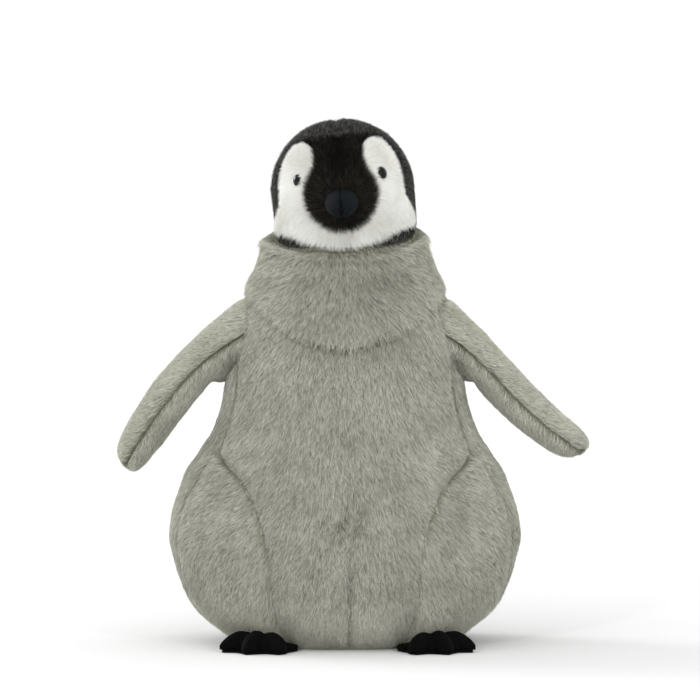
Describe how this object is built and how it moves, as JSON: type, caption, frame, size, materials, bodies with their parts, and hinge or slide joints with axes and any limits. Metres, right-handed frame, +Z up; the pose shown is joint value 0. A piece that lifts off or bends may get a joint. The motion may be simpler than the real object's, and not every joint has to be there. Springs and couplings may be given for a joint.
{
  "type": "plush penguin",
  "caption": "Standing plush penguin chick with a grey body, folded collar, black and white head, stitched wings and padded feet.",
  "frame": {"origin": "centre of the flat base panel, on the surface the toy stands on", "axes": "+Z up, the front and the beak face -Y, +X to the right as seen from the front"},
  "size_m": [0.2653, 0.1693, 0.2969],
  "materials": {
    "grey_plush": "matte",
    "black_plush": "matte",
    "white_plush": "matte",
    "beak_jersey": "matte",
    "foot_suede": "matte",
    "eye_plastic": "gloss",
    "washer_plastic": "satin",
    "polyester_fibre": "matte",
    "pouch_lining": "matte",
    "plastic_pellets": "satin",
    "sewing_thread": "satin"
  },
  "bodies": {
    "body": {"front_panel": "grey_plush", "thigh_panel_left": "grey_plush", "thigh_panel_right": "grey_plush", "back_panel_left": "grey_plush", "back_panel_right": "grey_plush", "base_panel": "grey_plush", "neck_collar": "grey_plush", "body_stuffing": "polyester_fibre", "pellet_pouch": "pouch_lining", "pellet_fill": "plastic_pellets", "closing_stitches": "sewing_thread"},
    "neck": {"neck_wad": "polyester_fibre"},
    "head": {"crown_panel_left": "black_plush", "crown_panel_right": "black_plush", "face_mask_left": "black_plush", "face_mask_right": "black_plush", "cheek_panel_left": "white_plush", "cheek_panel_right": "white_plush", "neck_band": "black_plush", "head_stuffing": "polyester_fibre", "beak_cover_left": "beak_jersey", "beak_cover_right": "beak_jersey", "beak_stuffing": "polyester_fibre", "eye_left": "eye_plastic", "eye_right": "eye_plastic", "eye_washer_left": "washer_plastic", "eye_washer_right": "washer_plastic"},
    "wing_left": {"wing_outer_left": "grey_plush", "wing_inner_left": "grey_plush", "wing_stuffing_left": "polyester_fibre"},
    "wing_right": {"wing_outer_right": "grey_plush", "wing_inner_right": "grey_plush", "wing_stuffing_right": "polyester_fibre"},
    "foot_left": {"foot_upper_left": "foot_suede", "foot_sole_left": "foot_suede", "foot_stuffing_left": "polyester_fibre"},
    "foot_right": {"foot_upper_right": "foot_suede", "foot_sole_right": "foot_suede", "foot_stuffing_right": "polyester_fibre"},
    "tail": {"tail_upper": "grey_plush", "tail_lower": "grey_plush", "tail_stuffing": "polyester_fibre"}
  },
  "joints": [
    {"name": "neck_turn", "type": "hinge", "parent": "body", "child": "neck", "pos_m": [0, 0, 0.24], "axis": [0, 0, 1], "range_deg": [-25, 25], "stiffness_Nm_per_rad": 0.4},
    {"name": "head_nod", "type": "hinge", "parent": "neck", "child": "head", "pos_m": [0, 0, 0.24], "axis": [1, 0, 0], "range_deg": [-7, 6], "stiffness_Nm_per_rad": 0.5},
    {"name": "wing_swing_left", "type": "hinge", "parent": "body", "child": "wing_left", "pos_m": [-0.07, 0, 0.172], "axis": [0, 1, 0], "range_deg": [-10, 55], "stiffness_Nm_per_rad": 0.15},
    {"name": "wing_swing_right", "type": "hinge", "parent": "body", "child": "wing_right", "pos_m": [0.07, 0, 0.172], "axis": [0, -1, 0], "range_deg": [-8, 65], "stiffness_Nm_per_rad": 0.15},
    {"name": "foot_flex_left", "type": "hinge", "parent": "body", "child": "foot_left", "pos_m": [-0.045, -0.042, 0.003], "axis": [-1, 0, 0], "range_deg": [-5, 12], "stiffness_Nm_per_rad": 0.1},
    {"name": "foot_flex_right", "type": "hinge", "parent": "body", "child": "foot_right", "pos_m": [0.048, -0.042, 0.003], "axis": [-1, 0, 0], "range_deg": [-5, 12], "stiffness_Nm_per_rad": 0.1},
    {"name": "tail_flex", "type": "hinge", "parent": "body", "child": "tail", "pos_m": [0, 0.0735, 0.027], "axis": [1, 0, 0], "range_deg": [-15, 30], "stiffness_Nm_per_rad": 0.05}
  ]
}
